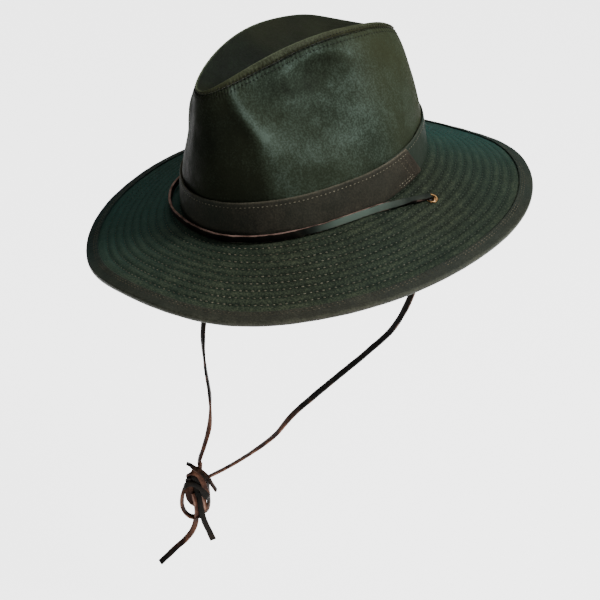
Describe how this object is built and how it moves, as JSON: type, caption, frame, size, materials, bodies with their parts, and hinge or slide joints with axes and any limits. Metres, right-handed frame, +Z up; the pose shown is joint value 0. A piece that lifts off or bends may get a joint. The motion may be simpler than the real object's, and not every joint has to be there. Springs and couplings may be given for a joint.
{
  "type": "outdoor hat",
  "caption": "Wide-brimmed waxed-cotton hat with a creased, dented crown, a cloth band, a quilt-stitched bound brim, and a flat leather lace through brim eyelets to a knot below.",
  "frame": {"origin": "middle of the head opening, where the crown's foot meets the brim", "axes": "+Z up, -Y the way the wearer faces, +X the wearer's left; the hat is worn tipped nose-down by 12.6 degrees"},
  "size_m": [0.3308, 0.3667, 0.524],
  "materials": {
    "crown_cloth": "waxed cotton, mottled dark green-brown with a dull sheen",
    "band_cloth": "waxed cotton, dark brown, matt",
    "brim_cloth": "waxed cotton, quilted with rows of pale stitches",
    "binding_cloth": "folded cotton binding, grey-brown with a dull sheen",
    "dark_lace": "flat leather lace, near black with a soft sheen, brown at its raw edges",
    "brown_lace": "flat leather lace, worn red-brown",
    "eyelet_metal": "copper-coloured, polished"
  },
  "bodies": {
    "root": {"crown_side": "crown_cloth", "crown_tip": "crown_cloth", "hat_band": "band_cloth", "brim": "brim_cloth", "brim_binding": "binding_cloth", "crown_lace": "dark_lace", "eyelet_left": "eyelet_metal", "eyelet_right": "eyelet_metal", "chin_lace_left": "dark_lace", "chin_lace_right": "dark_lace", "lace_knot": "brown_lace", "lace_tail_black": "dark_lace", "lace_tail_brown": "brown_lace"}
  },
  "joints": []
}
